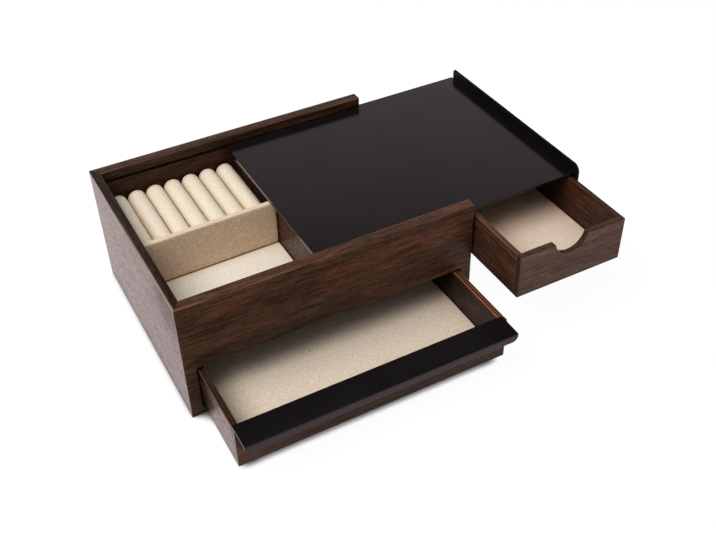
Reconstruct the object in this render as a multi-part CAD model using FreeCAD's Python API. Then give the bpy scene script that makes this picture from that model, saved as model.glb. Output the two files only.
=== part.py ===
import FreeCAD, Part
import os

# Jewellery box with a sliding metal lid, a drawer that hangs under the lid,
# a lower drawer and a ring insert.  Millimetres, +X along the length to the
# right, +Y from the front to the back, +Z up.  The origin is the centre of
# the casing's underside.  The lid and both drawers stand open.

# ---- casing, across X and Y
casing_length = 212.0
casing_depth = 168.6
long_wall = 8.0              # front and back walls
left_wall = 6.2
right_wall = 8.0             # lower right end wall
left_stile = 8.3             # front wall left of the lower opening
tray_width = 98.4            # left compartment between its two walls
partition_thickness = 5.0
board_round = 0.8            # eased edges of the casing boards

# ---- heights, stacked from the ground up
base_thickness = 6.0
drawer_float = 0.3           # running gap under each drawer
lower_drawer_height = 32.7
pull_sheet = 1.5
opening_gap = 0.5            # over the pull, under the shelf
shelf_thickness = 4.5
carrier_lift = 2.1           # shelf to the underside of the carrier
carrier_sheet = 1.2
side_drawer_height = 33.6
side_drawer_headroom = 1.2
lid_sheet = 1.6
groove_play_below = 0.3
groove_play_above = 0.4
rim_above_groove = 7.1

# ---- lid and the carrier that hangs from it
groove_depth = 2.9
lid_edge_gap = 0.4
stop_lip_drop = 1.6          # below the lid sheet
stop_lip_gap = 0.5           # from the ends of the stop lip to the long walls
stop_play = 3.2              # from the lip to the partition, lid open
partition_headroom = 0.5
clear_gap = 0.2              # carrier to the end of the casing, lid open
end_plate_front_inset = 1.0
end_plate_back_inset = 7.2
end_plate_drop_gap = 0.3     # end plate above the level of the shelf
flange_height = 7.6
flange_front_corner = 6.0
flange_back_corner = 2.0
carrier_side_sheet = 1.2
carrier_front_gap = 1.0
carrier_back_gap = 1.5
carrier_flange_width = 10.0
carrier_flange_inset = 3.0

# ---- side drawer
side_drawer_width = 84.7
side_drawer_play = 0.2       # to the carrier, each side
side_drawer_front_gap = 0.6  # behind the front wall, drawer in
side_drawer_back_gap = 0.7
side_drawer_open = 59.6
side_wall = 3.5
side_front = 4.4
side_bottom = 2.5
side_bottom_rise = 0.5
notch_radius = 13.0
notch_centre_rise = 1.6      # centre of the notch above the front's top edge
notch_shoulder = 2.0
notch_offset = -1.5          # from the middle of the drawer

# ---- lower drawer
lower_side_gap = 0.7
lower_back_gap = 3.5
lower_drawer_open = 56.5
lower_wall = 4.5
lower_front = 3.7
lower_bottom = 3.0
lower_bottom_rise = 2.0
pull_overhang = 15.8
pull_lip_height = 6.2
pull_lip_corner = 4.5
pull_bend = 1.4
pull_back_inset = 0.3
pull_left_inset = 0.1
pull_right_inset = 2.2
guide_height = 12.0
guide_play = 0.5
stop_block_length = 12.0
stop_block_play = 0.3
stop_block_height = 10.0
stop_block_inset = 30.0
thin_round = 0.4             # eased top edges of the drawer boards

# ---- linings and the ring insert
liner_board = 1.3
liner_gap = 0.3
insert_front_distance = 82.4  # front of the casing to the face of the insert
insert_front_thickness = 4.5
insert_gap = 0.2
insert_top_gap = 0.3         # insert board to the lid's lip
insert_block_height = 13.8
insert_back_gap = 3.2
roll_count = 7
roll_end_gap = 3.0           # last roll to the right end of the insert
roll_gap = 0.1
roll_lift = 0.1              # insert block to the round of a roll
roll_clear = 0.2

TOUCH = 1e-4

# ---- derived planes of the casing
left_x = -casing_length / 2
right_x = casing_length / 2
front_y = -casing_depth / 2
back_y = casing_depth / 2
inner_left_x = left_x + left_wall
inner_front_y = front_y + long_wall
inner_back_y = back_y - long_wall
lower_right_x = right_x - right_wall
partition_x = inner_left_x + tray_width
bay_x = partition_x + partition_thickness

lower_z = base_thickness + drawer_float
lower_top_z = lower_z + lower_drawer_height
pull_top_z = lower_top_z + pull_sheet
opening_z = pull_top_z + opening_gap
shelf_top_z = opening_z + shelf_thickness
carrier_z = shelf_top_z + carrier_lift
carrier_floor_z = carrier_z + carrier_sheet
side_z = carrier_floor_z + drawer_float
side_top_z = side_z + side_drawer_height
lid_z = side_top_z + side_drawer_headroom
lid_top_z = lid_z + lid_sheet
groove_z = lid_z - groove_play_below
groove_top_z = lid_top_z + groove_play_above
casing_height = groove_top_z + rim_above_groove

# ---- derived planes of the lid, open until the side drawer clears the casing
carrier_width = side_drawer_width + 2 * side_drawer_play + carrier_side_sheet
end_plate_x = right_x + clear_gap + carrier_width
carrier_x = right_x + clear_gap
lid_left_x = partition_x - stop_play - lid_sheet
lid_front_y = inner_front_y - groove_depth + lid_edge_gap
lid_back_y = inner_back_y + groove_depth - lid_edge_gap
carrier_front_y = inner_front_y + carrier_front_gap
carrier_back_y = inner_back_y - carrier_back_gap


def box(x0, x1, y0, y1, z0, z1):
    """Block between two corners."""
    corner = FreeCAD.Vector(x0, y0, z0)
    return Part.makeBox(x1 - x0, y1 - y0, z1 - z0, corner)


def prism(points, z0, z1):
    """Upright prism over a plan outline."""
    outline = [FreeCAD.Vector(x, y, z0) for x, y in points]
    face = Part.Face(Part.makePolygon(outline + outline[:1]))
    return face.extrude(FreeCAD.Vector(0, 0, z1 - z0))


def rod_y(radius, x, z, y0, y1):
    """Cylinder that runs front to back."""
    start = FreeCAD.Vector(x, y0, z)
    return Part.makeCylinder(radius, y1 - y0, start, FreeCAD.Vector(0, 1, 0))


def near(edge, **where):
    """True where every vertex of the edge has the given coordinates."""
    for vertex in edge.Vertexes:
        for axis, value in where.items():
            if abs(getattr(vertex.Point, axis) - value) > TOUCH:
                return False
    return True


def along(edge, axis):
    """True for an edge parallel to one axis."""
    start = edge.Vertexes[0].Point
    end = edge.Vertexes[-1].Point
    others = [name for name in "xyz" if name != axis]
    return all(abs(getattr(start, name) - getattr(end, name)) < TOUCH for name in others)


def rounded(shape, radius, choose):
    """Shape with the chosen edges rounded."""
    edges = [edge for edge in shape.Edges if choose(edge)]
    return shape.makeFillet(radius, edges)


def save(name, *shapes):
    """Write the solids of one piece."""
    solids = [solid for shape in shapes for solid in shape.Solids]
    result = solids[0] if len(solids) == 1 else Part.makeCompound(solids)
    result.exportStep("parts/" + name + ".step")


def eased_board(shape, top_z, long_axis, radius, end_x=None):
    """Board with its long top edges, and its free end at end_x, eased."""
    def choose(edge):
        if along(edge, long_axis) and near(edge, z=top_z):
            return True
        if end_x is None:
            return False
        upright = along(edge, "z") and near(edge, x=end_x)
        across = along(edge, "y") and near(edge, x=end_x, z=top_z)
        return upright or across
    return rounded(shape, radius, choose)


def long_wall_board(outer_y, inner_y, opening):
    """Front or back wall: mitred at the left, grooved for the lid."""
    plan = [(left_x, outer_y), (right_x, outer_y), (right_x, inner_y), (inner_left_x, inner_y)]
    board = eased_board(prism(plan, 0, casing_height), casing_height, "x", board_round, right_x)
    inward = 1 if inner_y > outer_y else -1
    groove_back = inner_y - inward * groove_depth
    low_y, high_y = sorted((groove_back, inner_y))
    board = board.cut(box(left_x, right_x, low_y, high_y, groove_z, groove_top_z))
    if opening:
        low_y, high_y = sorted((outer_y, inner_y))
        board = board.cut(box(left_x + left_stile, lower_right_x, low_y, high_y, 0, opening_z))
    return board


def casing():
    """Fixed boards of the casing."""
    save("front_wall", long_wall_board(front_y, inner_front_y, True))
    save("back_wall", long_wall_board(back_y, inner_back_y, False))
    plan = [(left_x, front_y), (inner_left_x, inner_front_y), (inner_left_x, inner_back_y)]
    plan.append((left_x, back_y))
    wall = eased_board(prism(plan, 0, casing_height), casing_height, "y", board_round)
    save("left_wall", wall)
    save("right_wall", box(lower_right_x, right_x, inner_front_y, inner_back_y, 0, shelf_top_z))
    tongue = box(left_x + left_stile, lower_right_x, front_y, inner_front_y, 0, base_thickness)
    panel = box(inner_left_x, lower_right_x, inner_front_y, inner_back_y, 0, base_thickness)
    save("base_panel", panel.fuse(tongue).removeSplitter())
    save("shelf", box(inner_left_x, lower_right_x, inner_front_y, inner_back_y, opening_z, shelf_top_z))
    top = lid_z - partition_headroom
    board = box(partition_x, bay_x, inner_front_y, inner_back_y, shelf_top_z, top)
    save("partition", eased_board(board, top, "y", board_round))
    guide_x = left_x + left_stile + lower_side_gap - guide_play
    guide_top = base_thickness + guide_height
    save("drawer_guide", box(inner_left_x, guide_x, inner_front_y, inner_back_y, base_thickness, guide_top))
    stop_y = inner_back_y - lower_back_gap + stop_block_play
    blocks = []
    for x0 in (inner_left_x + stop_block_inset, lower_right_x - stop_block_inset - stop_block_length):
        stop_top = base_thickness + stop_block_height
        blocks.append(box(x0, x0 + stop_block_length, stop_y, inner_back_y, base_thickness, stop_top))
    save("drawer_stops", *blocks)


def ring_insert():
    """Lining of the left compartment and the insert with its rolls."""
    x0 = inner_left_x + liner_gap
    x1 = partition_x - liner_gap
    liner_top = shelf_top_z + liner_board
    y0 = inner_front_y + liner_gap
    save("tray_liner", box(x0, x1, y0, inner_back_y - liner_gap, shelf_top_z, liner_top))
    x0 = inner_left_x + insert_gap
    x1 = partition_x - insert_gap
    face_y = front_y + insert_front_distance
    block_y = face_y + insert_front_thickness
    end_y = inner_back_y - insert_back_gap
    top = lid_z - stop_lip_drop - insert_top_gap
    save("insert_front", box(x0, x1, face_y, block_y, liner_top, top))
    block_top = liner_top + insert_block_height
    save("insert_block", box(x0, x1, block_y, end_y, liner_top, block_top))
    pitch = (x1 - x0 - roll_end_gap) / roll_count
    radius = (pitch - roll_gap) / 2
    for index in range(roll_count):
        middle = x0 + (index + 0.5) * pitch
        start_y = block_y + roll_clear
        centre_z = block_top + roll_lift + radius
        bar = box(middle - radius, middle + radius, start_y, end_y, block_top, centre_z)
        crown = rod_y(radius, middle, centre_z, start_y, end_y)
        save("ring_roll_%d" % (index + 1), bar.fuse(crown).removeSplitter())


def lid():
    """Sliding lid: sheet with a stop lip, end plate and drawer carrier."""
    sheet = box(lid_left_x, end_plate_x, lid_front_y, lid_back_y, lid_z, lid_top_z)
    lip_y0 = inner_front_y + stop_lip_gap
    lip_y1 = inner_back_y - stop_lip_gap
    lip = box(lid_left_x, lid_left_x + lid_sheet, lip_y0, lip_y1, lid_z - stop_lip_drop, lid_top_z)
    save("lid_sheet", sheet.fuse(lip).removeSplitter())

    plate_y0 = front_y + end_plate_front_inset
    plate_y1 = back_y - end_plate_back_inset
    top = lid_top_z + flange_height
    bottom = shelf_top_z + end_plate_drop_gap
    plate = box(end_plate_x, end_plate_x + lid_sheet, plate_y0, plate_y1, bottom, top)
    corners = ((flange_front_corner, plate_y0), (flange_back_corner, plate_y1))
    for radius, end_y in corners:
        plate = rounded(plate, radius, lambda edge: along(edge, "x") and near(edge, y=end_y, z=top))
    save("end_plate", plate)

    floor_x = carrier_x + carrier_side_sheet
    floor = box(floor_x, end_plate_x, carrier_front_y, carrier_back_y, carrier_z, carrier_floor_z)
    save("carrier_floor", floor)
    save("carrier_side", box(carrier_x, floor_x, carrier_front_y, carrier_back_y, carrier_z, lid_z))
    back_y0 = carrier_back_y - carrier_sheet
    save("carrier_back", box(floor_x, end_plate_x, back_y0, carrier_back_y, carrier_floor_z, lid_z))
    flange_y0 = carrier_front_y + carrier_flange_inset
    flange_y1 = carrier_back_y - carrier_flange_inset
    flange_x = carrier_x - carrier_flange_width
    save("carrier_flange", box(flange_x, carrier_x, flange_y0, flange_y1, lid_z - carrier_sheet, lid_z))


def drawer(prefix, x0, x1, y0, y1, z0, height, wall, front_thickness, bottom, rise, make_front):
    """Open drawer: front over the ends of the sides, bottom between them."""
    top = z0 + height
    inner_x0 = x0 + wall
    inner_x1 = x1 - wall
    inner_y0 = y0 + front_thickness
    inner_y1 = y1 - wall
    save(prefix + "_front", make_front(box(x0, x1, y0, inner_y0, z0, top), top))
    for side, low_x in (("left", x0), ("right", inner_x1)):
        board = box(low_x, low_x + wall, inner_y0, y1, z0, top)
        save(prefix + "_" + side, eased_board(board, top, "y", thin_round))
    board = box(inner_x0, inner_x1, inner_y1, y1, z0, top)
    save(prefix + "_back", eased_board(board, top, "x", thin_round))
    panel_z = z0 + rise
    panel_top = panel_z + bottom
    save(prefix + "_bottom", box(inner_x0, inner_x1, inner_y0, inner_y1, panel_z, panel_top))
    liner_x = (inner_x0 + liner_gap, inner_x1 - liner_gap)
    liner_y = (inner_y0 + liner_gap, inner_y1 - liner_gap)
    save(prefix + "_liner", box(*liner_x, *liner_y, panel_top, panel_top + liner_board))


def plain_front(board, top):
    """Front board with eased top edges."""
    return eased_board(board, top, "x", thin_round)


def notched_front(board, top):
    """Front board with a rounded finger notch in its top edge."""
    bounds = board.BoundBox
    middle = bounds.Center.x + notch_offset
    tool = rod_y(notch_radius, middle, top + notch_centre_rise, bounds.YMin, bounds.YMax)
    half = (notch_radius ** 2 - notch_centre_rise ** 2) ** 0.5
    cut = board.cut(tool)

    def shoulder(edge):
        left = near(edge, z=top, x=middle - half)
        right = near(edge, z=top, x=middle + half)
        return along(edge, "y") and (left or right)
    return rounded(cut, notch_shoulder, shoulder)


def side_drawer():
    """Drawer that hangs in the carrier."""
    x0 = carrier_x + carrier_side_sheet + side_drawer_play
    closed_y = inner_front_y + side_drawer_front_gap
    end_y = carrier_back_y - carrier_sheet - side_drawer_back_gap
    y0 = closed_y - side_drawer_open
    y1 = end_y - side_drawer_open
    size = (side_drawer_height, side_wall, side_front, side_bottom, side_bottom_rise)
    drawer("side_drawer", x0, x0 + side_drawer_width, y0, y1, side_z, *size, notched_front)


def lower_drawer():
    """Drawer over the base panel, with its sheet metal pull."""
    x0 = left_x + left_stile + lower_side_gap
    x1 = lower_right_x - lower_side_gap
    y0 = front_y - lower_drawer_open
    y1 = inner_back_y - lower_back_gap - lower_drawer_open
    size = (lower_drawer_height, lower_wall, lower_front, lower_bottom, lower_bottom_rise)
    drawer("lower_drawer", x0, x1, y0, y1, lower_z, *size, plain_front)
    plate_x0 = x0 + pull_left_inset
    plate_x1 = x1 - pull_right_inset
    plate_y0 = y0 - pull_overhang
    plate_y1 = y0 + lower_front - pull_back_inset
    plate = box(plate_x0, plate_x1, plate_y0, plate_y1, lower_top_z, pull_top_z)
    lip_z = pull_top_z - pull_lip_height
    lip = box(plate_x0, plate_x1, plate_y0, plate_y0 + pull_sheet, lip_z, pull_top_z)
    lip = rounded(lip, pull_lip_corner, lambda edge: along(edge, "y") and near(edge, z=lip_z))
    pull = plate.fuse(lip).removeSplitter()

    def bend(edge):
        return along(edge, "x") and near(edge, y=plate_y0, z=pull_top_z)
    save("pull", rounded(pull, pull_bend, bend))


os.makedirs("parts", exist_ok=True)
casing()
ring_insert()
lid()
side_drawer()
lower_drawer()
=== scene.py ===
import math

import bmesh
import bpy
from mathutils import Euler, Matrix, Vector, noise


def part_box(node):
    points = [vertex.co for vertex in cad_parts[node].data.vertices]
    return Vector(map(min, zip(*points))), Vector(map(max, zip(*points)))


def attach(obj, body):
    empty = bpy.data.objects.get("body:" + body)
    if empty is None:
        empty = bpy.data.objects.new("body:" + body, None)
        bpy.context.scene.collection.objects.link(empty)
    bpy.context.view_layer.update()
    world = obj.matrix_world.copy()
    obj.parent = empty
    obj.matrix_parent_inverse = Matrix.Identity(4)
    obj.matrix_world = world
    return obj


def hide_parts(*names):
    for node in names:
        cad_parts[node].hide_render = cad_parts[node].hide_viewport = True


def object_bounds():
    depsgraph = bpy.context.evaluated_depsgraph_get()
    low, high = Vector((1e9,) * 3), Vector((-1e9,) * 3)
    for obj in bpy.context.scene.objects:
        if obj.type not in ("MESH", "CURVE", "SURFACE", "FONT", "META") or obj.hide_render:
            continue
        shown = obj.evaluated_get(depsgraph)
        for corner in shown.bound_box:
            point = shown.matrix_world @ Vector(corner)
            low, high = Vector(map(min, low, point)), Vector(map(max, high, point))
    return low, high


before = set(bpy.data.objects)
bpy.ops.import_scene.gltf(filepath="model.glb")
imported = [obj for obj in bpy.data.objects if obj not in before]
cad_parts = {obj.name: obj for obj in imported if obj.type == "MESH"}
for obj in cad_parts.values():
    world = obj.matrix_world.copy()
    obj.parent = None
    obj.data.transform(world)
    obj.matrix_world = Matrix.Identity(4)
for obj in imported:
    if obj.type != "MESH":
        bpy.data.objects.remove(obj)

cad_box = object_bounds()
MM = 0.001


# ---------------------------------------------------------------- camera
CAMERA_PLACE = (-0.2077, -0.5148, 0.4831)
CAMERA_TURN = (49.859, 1.062, -28.488)      # degrees
CAMERA_LENS = 49.65                          # mm
SENSOR_WIDTH = 36.0                          # mm
NEAR_LIMIT = 0.01
FAR_LIMIT = 50.0

camera = bpy.data.objects.new("camera", bpy.data.cameras.new("camera"))
camera.location = CAMERA_PLACE
camera.rotation_euler = Euler([math.radians(turn) for turn in CAMERA_TURN])
camera.data.lens = CAMERA_LENS
camera.data.sensor_width = SENSOR_WIDTH
camera.data.clip_start = NEAR_LIMIT
camera.data.clip_end = FAR_LIMIT
bpy.context.scene.collection.objects.link(camera)
bpy.context.scene.camera = camera
bpy.context.scene.view_settings.view_transform = "Standard"


# ---------------------------------------------------------------- node trees
def srgb(red, green, blue):
    """Linear colour of an sRGB colour given from 0 to 255."""
    linear = []
    for value in (red, green, blue):
        share = value / 255
        linear.append(share / 12.92 if share <= 0.04045 else ((share + 0.055) / 1.055) ** 2.4)
    return (*linear, 1.0)


class Tree:
    """A node tree that is built node by node."""

    def __init__(self, owner):
        owner.use_nodes = True
        self.tree = owner.node_tree
        self.tree.nodes.clear()

    def add(self, kind, inputs=(), **settings):
        """A node, with its inputs linked from sockets or set to values."""
        node = self.tree.nodes.new(kind)
        for name, value in settings.items():
            setattr(node, name, value)
        for name, value in dict(inputs).items():
            if isinstance(value, bpy.types.NodeSocket):
                self.tree.links.new(value, node.inputs[name])
            else:
                node.inputs[name].default_value = value
        return node

    def part(self, vector, index):
        """One component of a vector."""
        return self.add("ShaderNodeSeparateXYZ", {0: vector}).outputs[index]

    def vector(self, operation, first, second):
        """One step of vector arithmetic."""
        node = self.add("ShaderNodeVectorMath", {0: first, 1: second}, operation=operation)
        return node.outputs[0]

    def math(self, operation, first, second=0.0):
        """One arithmetic step."""
        return self.add("ShaderNodeMath", {0: first, 1: second}, operation=operation).outputs[0]

    def product(self, first, *others):
        """Values multiplied together."""
        for other in others:
            first = self.math("MULTIPLY", first, other)
        return first

    def total(self, *terms):
        """Sum of terms, each a value and its weight."""
        scaled = [self.math("MULTIPLY", value, weight) for value, weight in terms]
        result = scaled[0]
        for term in scaled[1:]:
            result = self.math("ADD", result, term)
        return result

    def remap(self, value, low, high, to_low=0.0, to_high=1.0):
        """A value mapped from one range to another and clamped."""
        inputs = {"Value": value, "From Min": low, "From Max": high}
        inputs.update({"To Min": to_low, "To Max": to_high})
        return self.add("ShaderNodeMapRange", inputs).outputs[0]

    def noise(self, vector, scale=1.0, detail=3.0, roughness=0.5, distortion=0.0):
        """Noise value from 0 to 1."""
        inputs = {"Vector": vector, "Scale": scale, "Detail": detail}
        inputs.update({"Roughness": roughness, "Distortion": distortion})
        return self.add("ShaderNodeTexNoise", inputs).outputs[0]

    def ramp(self, value, stops):
        """Colour ramp with (place, colour) stops."""
        node = self.add("ShaderNodeValToRGB", {0: value})
        elements = node.color_ramp.elements
        while len(elements) < len(stops):
            elements.new(0.5)
        for element, (place, colour) in zip(elements, stops):
            element.position = place
            element.color = colour
        return node.outputs[0]

    def mix(self, share, first, second, blend="MIX"):
        """Two colours mixed by a share."""
        node = self.add("ShaderNodeMix", data_type="RGBA", blend_type=blend)
        for index, value in ((0, share), (6, first), (7, second)):
            if isinstance(value, bpy.types.NodeSocket):
                self.tree.links.new(value, node.inputs[index])
            else:
                node.inputs[index].default_value = value
        return node.outputs[2]

    def tinted(self, share, colour, tint):
        """A colour multiplied by a tint, by a share."""
        return self.mix(share, colour, tint, "MULTIPLY")

    def openness(self, reach, samples=4):
        """Share of the directions that are free within a distance, from 0 to 1."""
        node = self.add("ShaderNodeAmbientOcclusion", {"Distance": reach}, samples=samples)
        return node.outputs["AO"]

    def bump(self, height, distance, strength=1.0):
        """Normal from a height between 0 and 1 and its depth in metres."""
        inputs = {"Height": height, "Distance": distance, "Strength": strength}
        return self.add("ShaderNodeBump", inputs).outputs[0]

    def surface(self, **inputs):
        """Principled surface as the output."""
        named = {name.replace("_", " "): value for name, value in inputs.items()}
        shader = self.add("ShaderNodeBsdfPrincipled", named)
        self.add("ShaderNodeOutputMaterial", {"Surface": shader.outputs[0]})


# ---------------------------------------------------------------- wood
AXES = {"x": 0, "y": 1, "z": 2}

# scale along the grain and across it, per metre, then detail, roughness and distortion
GRAIN = {
    "bands": (7, 75, 3, 0.55, 0.4),
    "streaks": (30, 500, 3, 0.6, 0.1),
    "fibres": (130, 1250, 3, 0.7, 0.1),
    "pores": (200, 1600, 2, 0.5, 0.2),
    "stain": (10, 36, 4, 0.6, 0.2),
    "warmth": (30, 90, 2, 0.5, 0.0),
}
BOARD_SHIFT = (0.37, 0.61, 0.83)     # from one board's stretch of grain to the next, in metres
NICKS = (420, 3, 0.6)                # scale per metre, detail and roughness
BAND_WEIGHT = 0.28
STREAK_WEIGHT = 0.32
FIBRE_WEIGHT = 0.40
TONE_PLACES = (0.38, 0.5, 0.61)      # of the dark, middle and light tone on the ramp

# each range: two values, and what they become, which is 0 and 1 where it isn't given
WARM_RANGE = (0.32, 0.60)
STAIN_RANGE = (0.44, 0.66, 0, 0.45)
PORE_RANGE = (0.56, 0.66, 0, 0.5)
PORE_DEPTH = (0.54, 0.64, 0, 0.7)
END_RANGE = (0.6, 0.8)               # how squarely a face looks along the grain
WEAR_ON_STREAKS = (0.40, 0.56, 0.5, 1)
WEAR_ON_STAIN = (0.40, 0.60, 1, 0.45)
WOOD_SHADE_RANGE = (0.15, 0.75, 1, 0)
SLANT_RANGE = (0.6, 0.88)            # facing at which the sheen sets in and is full
SHEEN_ON_STREAKS = (0.36, 0.64, 0.84, 1.16)
SHEEN_ON_FIBRES = (0.3, 0.7, 0.76, 1.24)
SHEEN_ON_STAIN = (0.40, 0.64, 1.03, 0.96)
SQUARE_GLOSS = 0.12                  # specular level of wood that is seen squarely
GRIT_SHARE = 0.5                     # of the streaks and of the nicks in the grit
GRIT_RANGE = (0.40, 0.60, -0.05, 0.16)
ROUGHNESS_RANGE = (0, 1, 0.28, 0.12)
WOOD_DEPTH = 0.18 * MM               # of the grain's relief
WOOD_RELIEF = 0.8
FIBRE_RELIEF = 0.5                   # against the streaks
NICK_RELIEF = 0.7

OLIVE_TINT = (0.95, 0.98, 0.84, 1)
RED_TINT = (1.0, 0.80, 0.74, 1)
END_SHADE = (0.60, 0.57, 0.54, 1)
# painted shade: the wood's colour darkens where neighbours close it in
WOOD_REACH = 40 * MM                 # how near a neighbour darkens the wood
WOOD_SHADE = (0.50, 0.48, 0.46, 1)
EDGE_SOLID = 0.26 * MM               # width of the fully worn strip along a board's edges
EDGE_FADE = 1.3 * MM                 # width within which the wear has faded

PLY_COUNT = 2.5                      # pairs of pale and dark plies in a drawer board
PALE_PLY = (0.2, 0.8, 0, 0.7)
DARK_PLY = (0.4, -0.5, 0, 0.8)
PLY_DARK = srgb(24, 16, 12)
PLY_FACING = 0.6                     # faces that look less than this along the thickness show plies

PAINTED_SHEEN_BOARD = "front_wall"          # has a painted sheen: a paler patch where the face catches the light
PAINTED_SHEEN_CENTRE = (60 * MM, -84 * MM, 80 * MM)
PAINTED_SHEEN_REACH = (95 * MM, 100 * MM, 42 * MM)
PAINTED_SHEEN_GAIN = (2.3, 2.2, 2.15, 1)
PAINTED_SHEEN_ON_TOP = (0.3, 0.7, 1, 0.8)
SPOT_RANGE = (0.25, 1.1, 1, 0)       # share of the reach where a spot starts to fade and ends
SPOT_BLUR = (0.35, 0.65, 0.2, -0.2)  # how the warmth makes the outline of a spot uneven

DULLED_AND_HIGHLIT_BOARD = "left_wall"           # has a duller gloss at its front corner and a painted highlight on its outer edges
DULL_CENTRE = (-106 * MM, -74 * MM, 84 * MM)
DULL_REACH = (50 * MM, 64 * MM, 34 * MM)
DULL_SHARE = 0.12                    # of the gloss that is left in the middle of the spot
LINE_START = 30 * MM                 # where along the depth the painted edge highlight starts
LINE_FULL = -40 * MM
LINE_SOLID = 1 * MM                  # from the board's outside, where the painted edge highlight starts to fade
LINE_GONE = 3 * MM
LINE_SHARE = 0.7
EDGE_HIGHLIGHT_TONE = srgb(172, 152, 136)


def along_grain(grain, along, across):
    """Scale of each axis, with its own value along the grain."""
    return tuple(along if axis == grain else across for axis in "xyz")


def edge_wear(t, place, low, high):
    """Share that is 1 on the edges of a board's box and fades within EDGE_FADE."""
    reach = []
    for axis in range(3):
        spot = t.part(place, axis)
        from_low = t.math("SUBTRACT", spot, low[axis])
        from_high = t.math("SUBTRACT", high[axis], spot)
        reach.append(t.math("MINIMUM", from_low, from_high))
    nearer = t.math("MINIMUM", reach[0], reach[1])
    farther = t.math("MAXIMUM", reach[0], reach[1])
    second = t.math("MAXIMUM", nearer, t.math("MINIMUM", farther, reach[2]))
    return t.remap(second, EDGE_SOLID, EDGE_FADE, 1, 0)


def plies(t, place, normal, colour, edge_tone, axis, low, high):
    """Pale and dark plies on the edges of a board whose thickness runs along an axis."""
    turn = math.tau * PLY_COUNT / (high[axis] - low[axis])
    depth = t.math("SUBTRACT", t.part(place, axis), low[axis])
    wave = t.math("SINE", t.math("MULTIPLY", depth, turn))
    edge = t.math("LESS_THAN", t.math("ABSOLUTE", t.part(normal, axis)), PLY_FACING)
    pale = t.product(edge, t.remap(wave, *PALE_PLY))
    deep = t.product(edge, t.remap(wave, *DARK_PLY))
    return t.mix(deep, t.mix(pale, colour, edge_tone), PLY_DARK)


def nearness(t, place, centre, reach, warmth):
    """Share that is 1 around a centre and fades to 0 at the reach along each axis."""
    spread = t.vector("MULTIPLY", t.vector("SUBTRACT", place, centre),
                      tuple(1 / value for value in reach))
    distance = t.add("ShaderNodeVectorMath", {0: spread}, operation="LENGTH").outputs["Value"]
    distance = t.math("ADD", distance, t.remap(warmth, *SPOT_BLUR))
    return t.remap(distance, *SPOT_RANGE)


def painted_sheen(t, place, normal, colour, warmth):
    """Painted sheen: a paler patch around its centre where the face catches the light, a little
    weaker on top of the board.
    """
    share = nearness(t, place, PAINTED_SHEEN_CENTRE, PAINTED_SHEEN_REACH, warmth)
    share = t.product(share, t.remap(t.part(normal, AXES["z"]), *PAINTED_SHEEN_ON_TOP))
    return t.mix(share, colour, t.tinted(1.0, colour, PAINTED_SHEEN_GAIN))


def painted_edge_highlight(t, place, colour, wear_and_highlight_edges, low):
    """Painted highlight on the eased outer edges: a pale line that starts at LINE_START and is full
    at LINE_FULL.
    """
    outer = t.remap(t.part(place, 0), low.x + LINE_SOLID, low.x + LINE_GONE, LINE_SHARE, 0)
    forward = t.remap(t.part(place, 1), LINE_START, LINE_FULL)
    return t.mix(t.product(wear_and_highlight_edges, outer, forward), colour, EDGE_HIGHLIGHT_TONE)


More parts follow.
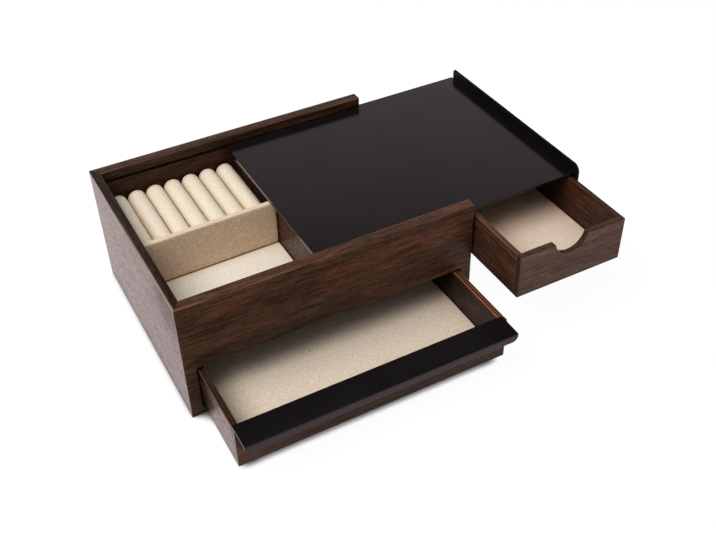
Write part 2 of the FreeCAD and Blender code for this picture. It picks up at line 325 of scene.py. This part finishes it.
def wood(node, grain, tones, edge_tone, worn, gloss, number, ply_axis=None):
    """Dark stained wood of one board, with its own stretch of grain, worn edges and painted shade
    where neighbours close it in; the front wall also gets a painted sheen, the left wall a painted
    edge highlight.

    worn is the share of the edge tone on the edges, gloss the sheen at a slant.
    """
    dark, middle, light = tones
    low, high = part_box(node)
    material = bpy.data.materials.new(node + "_wood")
    t = Tree(material)
    coordinate = t.add("ShaderNodeTexCoord")
    place = coordinate.outputs["Object"]
    normal = coordinate.outputs["Normal"]
    grown = t.vector("ADD", place, tuple(value * number for value in BOARD_SHIFT))
    pattern = {}
    for name, (along, across, *settings) in GRAIN.items():
        spread = t.vector("MULTIPLY", grown, along_grain(grain, along, across))
        pattern[name] = t.noise(spread, 1, *settings)
    streaks, fibres, stain = (pattern[name] for name in ("streaks", "fibres", "stain"))
    nicks = t.noise(grown, *NICKS)

    tone = t.total((pattern["bands"], BAND_WEIGHT), (streaks, STREAK_WEIGHT), (fibres, FIBRE_WEIGHT))
    colour = t.ramp(tone, list(zip(TONE_PLACES, (dark, middle, light))))
    olive = t.tinted(1.0, colour, OLIVE_TINT)
    reddish = t.tinted(1.0, colour, RED_TINT)
    colour = t.mix(t.remap(pattern["warmth"], *WARM_RANGE), olive, reddish)
    colour = t.mix(t.remap(stain, *STAIN_RANGE), colour, dark)
    colour = t.mix(t.remap(pattern["pores"], *PORE_RANGE), colour, dark)
    ends = t.remap(t.math("ABSOLUTE", t.part(normal, AXES[grain])), *END_RANGE)
    colour = t.mix(ends, colour, t.tinted(1.0, colour, END_SHADE))
    # painted sheen: the front wall is paler where it catches the light
    if node == PAINTED_SHEEN_BOARD:
        colour = painted_sheen(t, place, normal, colour, pattern["warmth"])
    if ply_axis:
        colour = plies(t, place, normal, colour, edge_tone, AXES[ply_axis], low, high)
    # edges of the board's box: for the real wear, and on the left wall for the painted edge highlight
    # too
    wear_and_highlight_edges = edge_wear(t, place, low, high)
    wear = t.product(t.remap(streaks, *WEAR_ON_STREAKS), t.remap(stain, *WEAR_ON_STAIN), worn)
    colour = t.mix(t.product(wear_and_highlight_edges, wear), colour, edge_tone)
    # painted highlight along the left wall's outer edges
    if node == DULLED_AND_HIGHLIT_BOARD:
        colour = painted_edge_highlight(t, place, colour, wear_and_highlight_edges, low)
    # painted shade: darker where neighbouring parts close the wood in
    painted_shade_share = t.remap(t.openness(WOOD_REACH), *WOOD_SHADE_RANGE)
    colour = t.tinted(painted_shade_share, colour, WOOD_SHADE)

    slant = t.add("ShaderNodeLayerWeight", {"Blend": 0.5}).outputs["Facing"]
    slant = t.remap(slant, *SLANT_RANGE)
    polish = t.product(t.remap(streaks, *SHEEN_ON_STREAKS), t.remap(fibres, *SHEEN_ON_FIBRES),
                       t.remap(stain, *SHEEN_ON_STAIN))
    if node == DULLED_AND_HIGHLIT_BOARD:
        dull = nearness(t, place, DULL_CENTRE, DULL_REACH, pattern["warmth"])
        polish = t.product(polish, t.remap(dull, 0, 1, 1, DULL_SHARE))
    grit = t.total((streaks, GRIT_SHARE), (nicks, GRIT_SHARE))
    relief = t.total((fibres, FIBRE_RELIEF), (streaks, 1.0), (nicks, NICK_RELIEF))
    relief = t.math("SUBTRACT", relief, t.remap(pattern["pores"], *PORE_DEPTH))
    t.surface(
        Base_Color=colour,
        Roughness=t.math("ADD", t.remap(grit, *GRIT_RANGE), t.remap(slant, *ROUGHNESS_RANGE)),
        Specular_IOR_Level=t.product(polish, t.remap(slant, 0, 1, SQUARE_GLOSS, gloss)),
        Normal=t.bump(relief, WOOD_DEPTH, WOOD_RELIEF),
    )
    return material


CASE_TONES = (srgb(30, 20, 14), srgb(68, 47, 35), srgb(108, 74, 54))
FRONT_TONES = (srgb(28, 18, 13), srgb(63, 43, 32), srgb(102, 69, 50))
SIDE_TONES = (srgb(22, 15, 11), srgb(46, 32, 25), srgb(72, 50, 40))
DRAWER_TONES = (srgb(58, 42, 37), srgb(100, 74, 65), srgb(131, 96, 81))
INNER_TONES = (srgb(26, 18, 13), srgb(55, 38, 29), srgb(86, 57, 43))
REDDISH_TONES = (srgb(30, 17, 11), srgb(63, 38, 26), srgb(102, 58, 38))
CASE_EDGE = srgb(134, 90, 68)
DARK_EDGE = srgb(84, 60, 47)
DULL_EDGE = srgb(36, 26, 22)
PLY_EDGE = srgb(176, 110, 78)


# ---------------------------------------------------------------- coated metal
COAT_GRAIN = (2600, 2, 0.6)          # scale per metre, detail and roughness
COAT_CLOUDS = (28, 3, 0.5)
CLOUD_RANGE = (0.35, 0.65)
CLOUD_SHADE = 0.72                   # share of the colour where the coat is darker
COAT_UNEVENNESS = 0.03               # of the roughness
UNEVEN_RANGE = (0.3, 0.7)
COAT_DEPTH = 0.05 * MM
COAT_RELIEF = 0.35


def coated_metal(name, colour, roughness, specular, tint):
    """Powder coated sheet with a fine orange-peel grain."""
    material = bpy.data.materials.new(name)
    t = Tree(material)
    place = t.add("ShaderNodeTexCoord").outputs["Object"]
    clouds = t.noise(place, *COAT_CLOUDS)
    darker = (*(CLOUD_SHADE * value for value in colour[:3]), 1.0)
    smooth = roughness - COAT_UNEVENNESS
    rough = roughness + COAT_UNEVENNESS
    t.surface(
        Base_Color=t.mix(t.remap(clouds, *CLOUD_RANGE), darker, colour),
        Roughness=t.remap(clouds, *UNEVEN_RANGE, smooth, rough),
        Specular_IOR_Level=specular,
        Specular_Tint=tint,
        Normal=t.bump(t.noise(place, *COAT_GRAIN), COAT_DEPTH, COAT_RELIEF),
    )
    return material


COAT = srgb(20, 17, 18)
LID_TINT = (1.0, 0.66, 0.78, 1)
PULL_TINT = (1.0, 0.80, 0.88, 1)
CARRIER_TINT = (1.0, 0.92, 0.95, 1)
lid_metal = coated_metal("lid_metal", COAT, 0.16, 0.5, LID_TINT)
carrier_metal = coated_metal("carrier_metal", COAT, 0.25, 0.36, CARRIER_TINT)
plate_metal = coated_metal("plate_metal", srgb(11, 9, 10), 0.55, 0.1, CARRIER_TINT)
pull_metal = coated_metal("pull_metal", srgb(20, 18, 19), 0.25, 0.36, PULL_TINT)


# ---------------------------------------------------------------- cloth
THREAD = 0.5 * MM                    # pitch of the threads
COARSE_THREAD = 0.8 * MM
THREAD_RUN = 7                       # pitches along a thread for each change of its tone
THREAD_TONE = (2, 0.6)               # detail and roughness
WANDER = {"Scale": 190.0, "Detail": 3.0}
WANDER_REACH = 1.6 * MM              # how far a thread strays
NUBS = (850, 3, 0.65)                # scale per metre, detail and roughness
MOTTLE = (330, 3, 0.6)
THREAD_WEIGHT = 0.45
NUB_WEIGHT = 0.55
CLOTH_TONE_PLACES = (0.38, 0.5, 0.62)
OVER_RANGE = (-0.3, 0.3)             # where the weave turns from warp to weft
GAP_RANGE = (0.0, 0.35, 0.3, 0)
MOTTLE_RANGE = (0.40, 0.62, 0.25, 0)
FLECKS = {"Scale": 110.0, "Randomness": 1.0}
FLECK_RANGE = (0.04, 0.09, 0.8, 0)
FLECK_TONE = srgb(112, 82, 56)
RIM_RANGE = (0.35, 0.75)
STITCH_RANGE = (0.2 * MM, 0.5 * MM, 0.55, 0)
STITCH_TONE = srgb(150, 112, 84)
CLOTH_SHADE_RANGE = (0.10, 0.80, 0.8, 0)
# painted shade: a thin dark line where a neighbour touches the cloth
CREASE_REACH = 2.2 * MM
CREASE_SAMPLES = 12
CREASE_RANGE = (0.42, 0.72)
CREASE_SHADE = srgb(58, 40, 28)
CLOTH_DEPTH = 0.16 * MM              # of the weave's relief
CLOTH_RELIEF = 0.8
TONE_RELIEF = 1.4                    # of the threads' tone against the weave


def weaving(t, flat, thread):
    """Weave of wandering threads from -1 to 1, and the tone of the threads that lie on top."""
    wander = t.add("ShaderNodeTexNoise", {"Vector": flat, **WANDER}).outputs[1]
    stray = t.vector("SUBTRACT", wander, (0.5, 0.5, 0.5))
    stray = t.vector("MULTIPLY", stray, (WANDER_REACH, WANDER_REACH, 0))
    woven = t.vector("ADD", flat, stray)
    pitch = 1 / thread
    warp = t.math("SINE", t.math("MULTIPLY", t.part(woven, 0), math.pi * pitch))
    weft = t.math("SINE", t.math("MULTIPLY", t.part(woven, 1), math.pi * pitch))
    weave = t.product(warp, weft)
    tones = []
    for scales in ((pitch, pitch / THREAD_RUN, 1), (pitch / THREAD_RUN, pitch, 1)):
        tones.append(t.noise(t.vector("MULTIPLY", woven, scales), 1, *THREAD_TONE))
    over = t.remap(weave, *OVER_RANGE)
    threads = t.add("ShaderNodeMix", {0: over, 2: tones[0], 3: tones[1]}).outputs[0]
    return weave, threads


def linen(name, tones, reach, shade, thread=THREAD, specks=0.0, crease=0.0, rim=None, seam=None):
    """Nubby woven cloth in UV metres, with a painted warm shade where neighbours close it in.

    reach is how near a neighbour counts, thread the pitch of the threads, specks the
    share of dark flecks and crease the share of a painted dark shade line where a
    neighbour touches.  rim is a colour of the faces that look up, seam the place of a
    stitched line along V.
    """
    material = bpy.data.materials.new(name)
    t = Tree(material)
    coordinate = t.add("ShaderNodeTexCoord")
    flat = coordinate.outputs["UV"]
    weave, threads = weaving(t, flat, thread)
    tone = t.total((threads, THREAD_WEIGHT), (t.noise(flat, *NUBS), NUB_WEIGHT))
    colour = t.ramp(tone, list(zip(CLOTH_TONE_PLACES, tones)))
    raised = t.math("ABSOLUTE", weave)
    colour = t.mix(t.remap(raised, *GAP_RANGE), colour, tones[0])
    if specks:
        flecks = t.add("ShaderNodeTexVoronoi", {"Vector": flat, **FLECKS})
        chosen = t.math("LESS_THAN", t.part(flecks.outputs[1], 0), specks)
        small = t.remap(flecks.outputs[0], *FLECK_RANGE)
        colour = t.mix(t.product(chosen, small), colour, FLECK_TONE)
    mottle = t.noise(coordinate.outputs["Object"], *MOTTLE)
    colour = t.mix(t.remap(mottle, *MOTTLE_RANGE), colour, tones[0])
    if rim:
        up = t.part(coordinate.outputs["Normal"], AXES["z"])
        colour = t.mix(t.remap(up, *RIM_RANGE), colour, rim)
    if seam:
        away = t.math("ABSOLUTE", t.math("SUBTRACT", t.part(flat, 1), seam))
        colour = t.mix(t.remap(away, *STITCH_RANGE), colour, STITCH_TONE)
    # painted shade: a warm, darker tint where neighbours close the cloth in
    colour = t.tinted(t.remap(t.openness(reach), *CLOTH_SHADE_RANGE), colour, shade)
    # painted shade line where a neighbour touches
    if crease:
        touched = t.remap(t.openness(CREASE_REACH, CREASE_SAMPLES), *CREASE_RANGE, crease, 0)
        colour = t.mix(touched, colour, CREASE_SHADE)
    t.surface(
        Base_Color=colour,
        Roughness=0.95,
        Specular_IOR_Level=0.2,
        Sheen_Weight=0.15,
        Sheen_Roughness=0.5,
        Normal=t.bump(t.total((raised, 1.0), (tone, TONE_RELIEF)), CLOTH_DEPTH, CLOTH_RELIEF),
    )
    return material


TRAY_CLOTH = (srgb(226, 211, 192), srgb(243, 233, 217), srgb(250, 243, 232))
ROLL_CLOTH = (srgb(220, 202, 176), srgb(243, 229, 206), srgb(250, 242, 226))
BOARD_CLOTH = (srgb(190, 158, 126), srgb(230, 200, 168), srgb(248, 224, 198))
DRAWER_CLOTH = (srgb(208, 185, 160), srgb(240, 221, 201), srgb(252, 238, 222))
SIDE_CLOTH = (srgb(232, 209, 184), srgb(254, 238, 218), srgb(255, 248, 235))
BOARD_RIM = srgb(217, 196, 170)
# tints of the painted shade in closed-in cloth
CLOTH_SHADE = (0.74, 0.58, 0.45, 1)
DEEP_SHADE = (0.62, 0.36, 0.22, 1)
LIGHT_SHADE = (0.95, 0.68, 0.48, 1)

ROLL_SEAM = 2.3 * MM                 # from the back end of a roll to its stitched line
roll_low, roll_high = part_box("ring_roll_1")
roll_length = roll_high.y - roll_low.y
tray_linen = linen("tray_linen", TRAY_CLOTH, 15 * MM, LIGHT_SHADE, crease=0.9)
roll_linen = linen("roll_linen", ROLL_CLOTH, 12 * MM, CLOTH_SHADE, specks=0.05,
                   seam=roll_length - ROLL_SEAM)
board_linen = linen("board_linen", BOARD_CLOTH, 4 * MM, CLOTH_SHADE, COARSE_THREAD, rim=BOARD_RIM)
drawer_linen = linen("drawer_linen", DRAWER_CLOTH, 30 * MM, CLOTH_SHADE, specks=0.16)
side_linen = linen("side_linen", SIDE_CLOTH, 60 * MM, DEEP_SHADE, specks=0.22)


# ---------------------------------------------------------------- rigid boards and sheets
BOARD_EASE = 0.35 * MM
SHEET_EASE = 0.25 * MM
WELD_REACH = 1e-6
FLAT_TURN = math.radians(0.2)        # faces that turn less are merged
EDGE_TURN = math.radians(40)         # edges that turn more are eased
EASE_STEPS = 2


def soften(node, width, material):
    """Eases the edges of a CAD piece and gives it its finish."""
    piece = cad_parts[node]
    weld = piece.modifiers.new("weld", "WELD")
    weld.merge_threshold = WELD_REACH
    flat = piece.modifiers.new("flat", "DECIMATE")
    flat.decimate_type = "DISSOLVE"
    flat.angle_limit = FLAT_TURN
    ease = piece.modifiers.new("ease", "BEVEL")
    ease.width = width
    ease.segments = EASE_STEPS
    ease.limit_method = "ANGLE"
    ease.angle_limit = EDGE_TURN
    normals = piece.modifiers.new("normals", "WEIGHTED_NORMAL")
    normals.keep_sharp = False
    piece.data.materials.clear()
    piece.data.materials.append(material)


# node, direction of the grain, tones, tone and share of the worn edges, gloss, axis through the plies
BOARDS = [
    ("front_wall", "x", FRONT_TONES, CASE_EDGE, 0.4, 0.64, None),
    ("back_wall", "x", CASE_TONES, CASE_EDGE, 0.45, 0.64, None),
    ("left_wall", "y", SIDE_TONES, DARK_EDGE, 0.15, 0.64, None),
    ("right_wall", "y", CASE_TONES, CASE_EDGE, 0.4, 0.64, None),
    ("base_panel", "x", CASE_TONES, DARK_EDGE, 0.3, 0.64, None),
    ("shelf", "x", INNER_TONES, DARK_EDGE, 0.3, 0.3, None),
    ("partition", "y", CASE_TONES, DARK_EDGE, 0.3, 0.12, None),
    ("drawer_guide", "y", INNER_TONES, DARK_EDGE, 0.3, 0.64, None),
    ("drawer_stops", "x", INNER_TONES, DARK_EDGE, 0.3, 0.64, None),
    ("side_drawer_front", "x", DRAWER_TONES, DULL_EDGE, 0.9, 0.64, "y"),
    ("side_drawer_back", "x", DRAWER_TONES, PLY_EDGE, 0.3, 0.64, "y"),
    ("side_drawer_left", "y", CASE_TONES, CASE_EDGE, 0.35, 0.64, "x"),
    ("side_drawer_right", "y", REDDISH_TONES, DARK_EDGE, 0.3, 0.4, "x"),
    ("side_drawer_bottom", "x", INNER_TONES, DARK_EDGE, 0.2, 0.64, None),
    ("lower_drawer_front", "x", CASE_TONES, DARK_EDGE, 0.3, 0.64, None),
    ("lower_drawer_back", "x", DRAWER_TONES, PLY_EDGE, 0.3, 0.64, "y"),
    ("lower_drawer_left", "y", SIDE_TONES, DARK_EDGE, 0.9, 0.64, "x"),
    ("lower_drawer_right", "y", SIDE_TONES, PLY_EDGE, 0.9, 0.4, "x"),
    ("lower_drawer_bottom", "x", INNER_TONES, DARK_EDGE, 0.2, 0.64, None),
]
for number, (node, grain, tones, edge_tone, worn, gloss, ply_axis) in enumerate(BOARDS):
    soften(node, BOARD_EASE, wood(node, grain, tones, edge_tone, worn, gloss, number, ply_axis))
for node in ("carrier_floor", "carrier_side", "carrier_back", "carrier_flange"):
    soften(node, SHEET_EASE, carrier_metal)
soften("lid_sheet", SHEET_EASE, lid_metal)
soften("end_plate", SHEET_EASE, plate_metal)
soften("pull", SHEET_EASE, pull_metal)


# ---------------------------------------------------------------- padded blocks
ROUND_TURNS = (0, 22.5, 45, 67.5)    # degrees at which a rounded end has a grid line
EASE_SHARE = 0.49                    # of a side that the rounding may take at each end
WELD_GRID = 1e-6
COARSE_WAVES = 9 * MM                # length of the cloth's unevenness, coarse and fine
FINE_WAVES = 3 * MM
FINE_SHARE = 0.4
WAVE_INSET = 0.7                     # keeps the waves inside the block


def finished(name, mesh, material, body, node):
    """Object of a soft piece that stands for its CAD node."""
    piece = bpy.data.objects.new(name, mesh)
    bpy.context.scene.collection.objects.link(piece)
    mesh.materials.append(material)
    for polygon in mesh.polygons:
        polygon.use_smooth = True
    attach(piece, body)
    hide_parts(node)
    return piece


def stations(low, high, radius, step):
    """Grid lines of one axis: close together in the rounded ends, even between."""
    curve = [radius * (1 - math.cos(math.radians(angle))) for angle in ROUND_TURNS]
    span = high - low - 2 * radius
    count = max(2, round(span / step))
    middle = [low + radius + span * index / count for index in range(count + 1)]
    return [low + value for value in curve] + middle + [high - value for value in reversed(curve)]


def box_grid(lines):
    """Closed box with the given grid lines along each axis."""
    grid = bmesh.new()
    for axis in range(3):
        first, second = [index for index in range(3) if index != axis]
        for end in (lines[axis][0], lines[axis][-1]):
            rows = []
            for u in lines[first]:
                row = []
                for v in lines[second]:
                    point = [0.0, 0.0, 0.0]
                    point[axis], point[first], point[second] = end, u, v
                    row.append(grid.verts.new(point))
                rows.append(row)
            for one, two in zip(rows, rows[1:]):
                for corners in zip(one, one[1:], two[1:], two):
                    grid.faces.new(corners)
    bmesh.ops.remove_doubles(grid, verts=grid.verts, dist=WELD_GRID)
    return grid


def box_uv(grid):
    """UV in metres, projected along each face's main direction."""
    layer = grid.loops.layers.uv.new("cloth")
    for face in grid.faces:
        normal = [abs(value) for value in face.normal]
        axis = normal.index(max(normal))
        first, second = [index for index in range(3) if index != axis]
        for loop in face.loops:
            loop[layer].uv = (loop.vert.co[first], loop.vert.co[second])


def made(name, grid):
    """Mesh from a grid."""
    mesh = bpy.data.meshes.new(name)
    grid.to_mesh(mesh)
    grid.free()
    return mesh


def padded_block(name, low, high, radius, step, swell, seed):
    """Closed cloth-covered block: rounded edges, faces that swell and dip a little."""
    ease = [min(radius, EASE_SHARE * (high[axis] - low[axis])) for axis in range(3)]
    grid = box_grid([stations(low[axis], high[axis], ease[axis], step) for axis in range(3)])
    for vertex in grid.verts:
        inner = Vector([min(max(vertex.co[axis], low[axis] + ease[axis]), high[axis] - ease[axis])
                        for axis in range(3)])
        outward = vertex.co - inner
        direction = outward.normalized()
        vertex.co = inner + Vector([direction[axis] * ease[axis] for axis in range(3)])
        waves = noise.noise(vertex.co / COARSE_WAVES + Vector((seed, 0, 0)))
        waves += FINE_SHARE * noise.noise(vertex.co / FINE_WAVES + Vector((0, seed, 0)))
        vertex.co += direction * (swell * (waves - WAVE_INSET))
    bmesh.ops.recalc_face_normals(grid, faces=grid.faces)
    box_uv(grid)
    return made(name, grid)


# ---------------------------------------------------------------- ring insert
ROLLS = 7
BOARD_SKEW = math.radians(1.05)      # the loose insert board stands a little askew
ROLL_INSET = 0.18 * MM               # of the cloth within the CAD roll
AROUND = 28                          # steps over the crown
FRONT_RINGS = (0, 0.6, 1.5, 3.0)     # mm from the front end
BACK_RINGS = (5.2, 4.2, 3.3, 2.7, 2.3, 1.9, 1.3, 0.75, 0.3, 0.08, 0)      # mm from the back end
MIDDLE_END = 6.0                     # mm from the back end
MIDDLE_RINGS = 30
END_ROUND = 2.0 * MM                 # length of the rounded back end
END_WIDTH = 0.74                     # share of the width that is left at the back end
SEAM_DEPTH = 0.45 * MM
SEAM_WIDTH = 0.35 * MM
PUCKER_DEPTH = 0.12 * MM
PUCKER_WIDTH = 0.9 * MM
PUCKER_TURN = 2.7                    # from one lengthwise line of the mesh to the next
PUCKER_SHIFT = 1.3                   # from one roll to the next
SINK_DEPTH = 0.5 * MM                # of the crown at the front end
SINK_LENGTH = 2.5 * MM
RIPPLE_ACROSS = 4 * MM
RIPPLE_ALONG = 7 * MM
RIPPLE_SHIFT = 3.1
RIPPLE_DEPTH = 0.13 * MM
FINE_RIPPLE_DEPTH = 0.06 * MM
FINE_RIPPLES = 3                     # times as dense as the others
UV_SHIFT = 31 * MM                   # from one roll's stretch of cloth to the next

low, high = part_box("insert_front")
board_centre = (low + high) / 2


def roll_section(half, flank):
    """Outline of a roll from one foot over the crown to the other, as (across, up)."""
    points = [(-half, -flank), (-half, -flank / 2)]
    for index in range(AROUND + 1):
        angle = math.pi * (1 - index / AROUND)
        points.append((half * math.cos(angle), half * math.sin(angle)))
    return points + [(half, -flank / 2), (half, -flank)]


def roll_ring(grid, section, roll, middle, crown_z, front, y, rest):
    """Vertices of one ring of a roll, at y behind its front and with the rest behind it."""
    half = section[-1][0]
    share = 1.0
    if rest < END_ROUND:
        bend = math.sqrt(max(0.0, 1 - ((END_ROUND - rest) / END_ROUND) ** 2))
        share = bend * (1 - END_WIDTH) + END_WIDTH
    dent = SEAM_DEPTH * math.exp(-((rest - ROLL_SEAM) / SEAM_WIDTH) ** 2)
    swing = PUCKER_DEPTH * math.exp(-((rest - ROLL_SEAM) / PUCKER_WIDTH) ** 2)
    sink = SINK_DEPTH * math.exp(-y / SINK_LENGTH)
    ring = []
    for number, (across, up) in enumerate(section):
        size = math.hypot(across, max(up, 0)) or half
        spot = (across / RIPPLE_ACROSS, (front + y) / RIPPLE_ALONG, RIPPLE_SHIFT * roll)
        ripple = RIPPLE_DEPTH * noise.noise(Vector(spot))
        ripple += FINE_RIPPLE_DEPTH * noise.noise(Vector(spot) * FINE_RIPPLES)
        pucker = swing * math.sin(number * PUCKER_TURN + PUCKER_SHIFT * roll)
        factor = share * (1 - (dent + ROLL_INSET - ripple - pucker) / size)
        z = crown_z + (up * factor if up > 0 else up) - sink * max(up, 0) / half
        ring.append(grid.verts.new((middle + across * factor, front + y, z)))
    return ring


def ring_roll(roll):
    """One cloth roll: a padded bar with a sewn, rounded back end."""
    low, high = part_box("ring_roll_%d" % roll)
    half = (high.x - low.x) / 2
    middle = (high.x + low.x) / 2
    front = low.y + (middle - board_centre.x) * math.tan(BOARD_SKEW)
    length = high.y - front
    end = length / MM
    step = (end - MIDDLE_END - FRONT_RINGS[-1]) / MIDDLE_RINGS
    places = list(FRONT_RINGS)
    places += [FRONT_RINGS[-1] + step * index for index in range(1, MIDDLE_RINGS + 1)]
    places += [end - value for value in BACK_RINGS]
    grid = bmesh.new()
    layer = grid.loops.layers.uv.new("cloth")
    section = roll_section(half, high.z - low.z - half)
    rings = []
    for place in places:
        y = place * MM
        rings.append(roll_ring(grid, section, roll, middle, high.z - half, front, y, length - y))
    run = [0.0]
    for (across, up), (next_across, next_up) in zip(section, section[1:]):
        run.append(run[-1] + math.hypot(next_across - across, next_up - up))
    for row, (one, two) in enumerate(zip(rings, rings[1:])):
        near = places[row] * MM + roll_length - length
        far = places[row + 1] * MM + roll_length - length
        for column in range(len(section) - 1):
            face = grid.faces.new((one[column], one[column + 1], two[column + 1], two[column]))
            left, right = run[column], run[column + 1]
            corners = ((left, near), (right, near), (right, far), (left, far))
            for loop, (u, v) in zip(face.loops, corners):
                loop[layer].uv = (u + UV_SHIFT * roll, v)
        bottom = grid.faces.new((one[0], two[0], two[-1], one[-1]))
        for loop in bottom.loops:
            loop[layer].uv = (loop.vert.co.x, loop.vert.co.y)
    for ring in (rings[0], rings[-1]):
        cap = grid.faces.new(ring)
        for loop in cap.loops:
            loop[layer].uv = (loop.vert.co.x, loop.vert.co.z)
    bmesh.ops.recalc_face_normals(grid, faces=grid.faces)
    name = "cloth_roll_%d" % roll
    piece = finished(name, made(name, grid), roll_linen, "casing", "ring_roll_%d" % roll)


mesh = padded_block("cloth_board", low, high, radius=1.4 * MM, step=2.5 * MM,
                    swell=0.10 * MM, seed=5)
turned = Matrix.Translation(board_centre) @ Matrix.Rotation(BOARD_SKEW, 4, "Z")
mesh.transform(turned @ Matrix.Translation(-board_centre))
board = finished("cloth_board", mesh, board_linen, "casing", "insert_front")

for number in range(1, ROLLS + 1):
    ring_roll(number)

low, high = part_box("insert_block")
mesh = padded_block("cloth_block", low, high, radius=1.0 * MM, step=5 * MM,
                    swell=0.08 * MM, seed=9)
block = finished("cloth_block", mesh, roll_linen, "casing", "insert_block")


# ---------------------------------------------------------------- linings
LINING_ROUND = 0.6 * MM
LINING_STEP = 4 * MM
LINING_SWELL = 0.07 * MM


def lining(name, node, body, material, seed):
    """Cloth laid over the card in the bottom of a compartment."""
    low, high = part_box(node)
    mesh = padded_block(name, low, high, LINING_ROUND, LINING_STEP, LINING_SWELL, seed)
    piece = finished(name, mesh, material, body, node)


lining("tray_cloth", "tray_liner", "casing", tray_linen, 13)
lining("side_drawer_cloth", "side_drawer_liner", "side_drawer", side_linen,
       17)
lining("lower_drawer_cloth", "lower_drawer_liner", "lower_drawer", drawer_linen,
       21)


# ---------------------------------------------------------------- floor, light and background
WHITE = (1.0, 1.0, 1.0, 1.0)
FLOOR_SIZE = 8.0
FLOOR_WHITE = 0.96                   # of the floor as the camera and glossy surfaces see it
FLOOR_ROSE = (1.0, 0.82, 0.80, 1)    # as glossy surfaces mirror it
FLOOR_GREY = (0.06, 0.06, 0.06, 1)   # what the floor shows of the lamp's light and shadow
FLOOR_BOUNCE = (0.8, 0.8, 0.8, 1)    # for the light that it throws back
CONTACT_REACH = 14 * MM              # width of the contact shadow, which is painted into the floor's glow
CONTACT_SAMPLES = 24
CONTACT_RANGE = (0.38, 0.60, 0.03, 1)
LIT_LEVEL = 0.88                     # of the contact shadow along the lit left side
LIT_BLUR = 2 * MM

floor_mesh = bpy.data.meshes.new("floor")
half = FLOOR_SIZE / 2
corners = [(-half, -half, 0), (half, -half, 0), (half, half, 0), (-half, half, 0)]
floor_mesh.from_pydata(corners, [], [(0, 1, 2, 3)])
floor = bpy.data.objects.new("floor", floor_mesh)
bpy.context.scene.collection.objects.link(floor)

floor_material = bpy.data.materials.new("floor")
t = Tree(floor_material)
path = t.add("ShaderNodeLightPath")
seen = t.math("MAXIMUM", path.outputs["Is Camera Ray"], path.outputs["Is Glossy Ray"])
seen = t.math("MAXIMUM", seen, path.outputs["Is Transmission Ray"])
white = t.mix(path.outputs["Is Glossy Ray"], WHITE, FLOOR_ROSE)
# painted contact shadow: the floor's glow dims where the object is near
contact = t.remap(t.openness(CONTACT_REACH, CONTACT_SAMPLES), *CONTACT_RANGE)
across = t.part(t.add("ShaderNodeTexCoord").outputs["Object"], 0)
left = cad_box[0][0]
lit_side = t.remap(across, left - LIT_BLUR, left + LIT_BLUR, LIT_LEVEL, 0)
level = t.math("MULTIPLY", t.math("MAXIMUM", contact, lit_side), FLOOR_WHITE)
glow = t.add("ShaderNodeEmission", {"Color": white, "Strength": level}).outputs[0]
shaded = t.add("ShaderNodeBsdfDiffuse", {"Color": FLOOR_GREY}).outputs[0]
plain = t.add("ShaderNodeBsdfDiffuse", {"Color": FLOOR_BOUNCE}).outputs[0]
shown = t.add("ShaderNodeAddShader", {0: glow, 1: shaded}).outputs[0]
shown = t.add("ShaderNodeMixShader", {0: seen, 1: plain, 2: shown}).outputs[0]
t.add("ShaderNodeOutputMaterial", {"Surface": shown})
floor_mesh.materials.append(floor_material)

WORLD_LEVEL = 0.32                   # light of the room on matt surfaces
# what glossy surfaces mirror: a white sweep that fades into a dark ceiling,
# as (height on the unit sphere, brightness)
SWEEP = [(0.28, 1.0), (0.50, 0.46), (0.56, 0.40), (0.62, 0.24), (0.68, 0.06), (0.74, 0.03)]
world = bpy.data.worlds.new("studio")
bpy.context.scene.world = world
t = Tree(world)
path = t.add("ShaderNodeLightPath")
height = t.part(t.add("ShaderNodeTexCoord").outputs["Generated"], 2)
sweep = t.ramp(height, [(place, (level, level, level, 1)) for place, level in SWEEP])
seen = t.math("MAXIMUM", path.outputs["Is Camera Ray"], path.outputs["Is Transmission Ray"])
room = (WORLD_LEVEL, WORLD_LEVEL, WORLD_LEVEL, 1)
lit = t.mix(path.outputs["Is Glossy Ray"], room, sweep)
background = t.add("ShaderNodeBackground", {"Color": t.mix(seen, lit, WHITE), "Strength": 1.0})
t.add("ShaderNodeOutputWorld", {"Surface": background.outputs[0]})

KEY_PLACE = (-0.62, -0.22, 1.15)
KEY_TARGET = (0.02, 0, 0.04)
KEY_SIZE = 0.9
KEY_POWER = 17.0                     # watts

data = bpy.data.lights.new("key_box", "AREA")
data.shape = "SQUARE"
data.size = KEY_SIZE
data.energy = KEY_POWER
light = bpy.data.objects.new("key_box", data)
light.location = KEY_PLACE
away = Vector(KEY_TARGET) - Vector(KEY_PLACE)
light.rotation_euler = away.to_track_quat("-Z", "Y").to_euler()
bpy.context.scene.collection.objects.link(light)
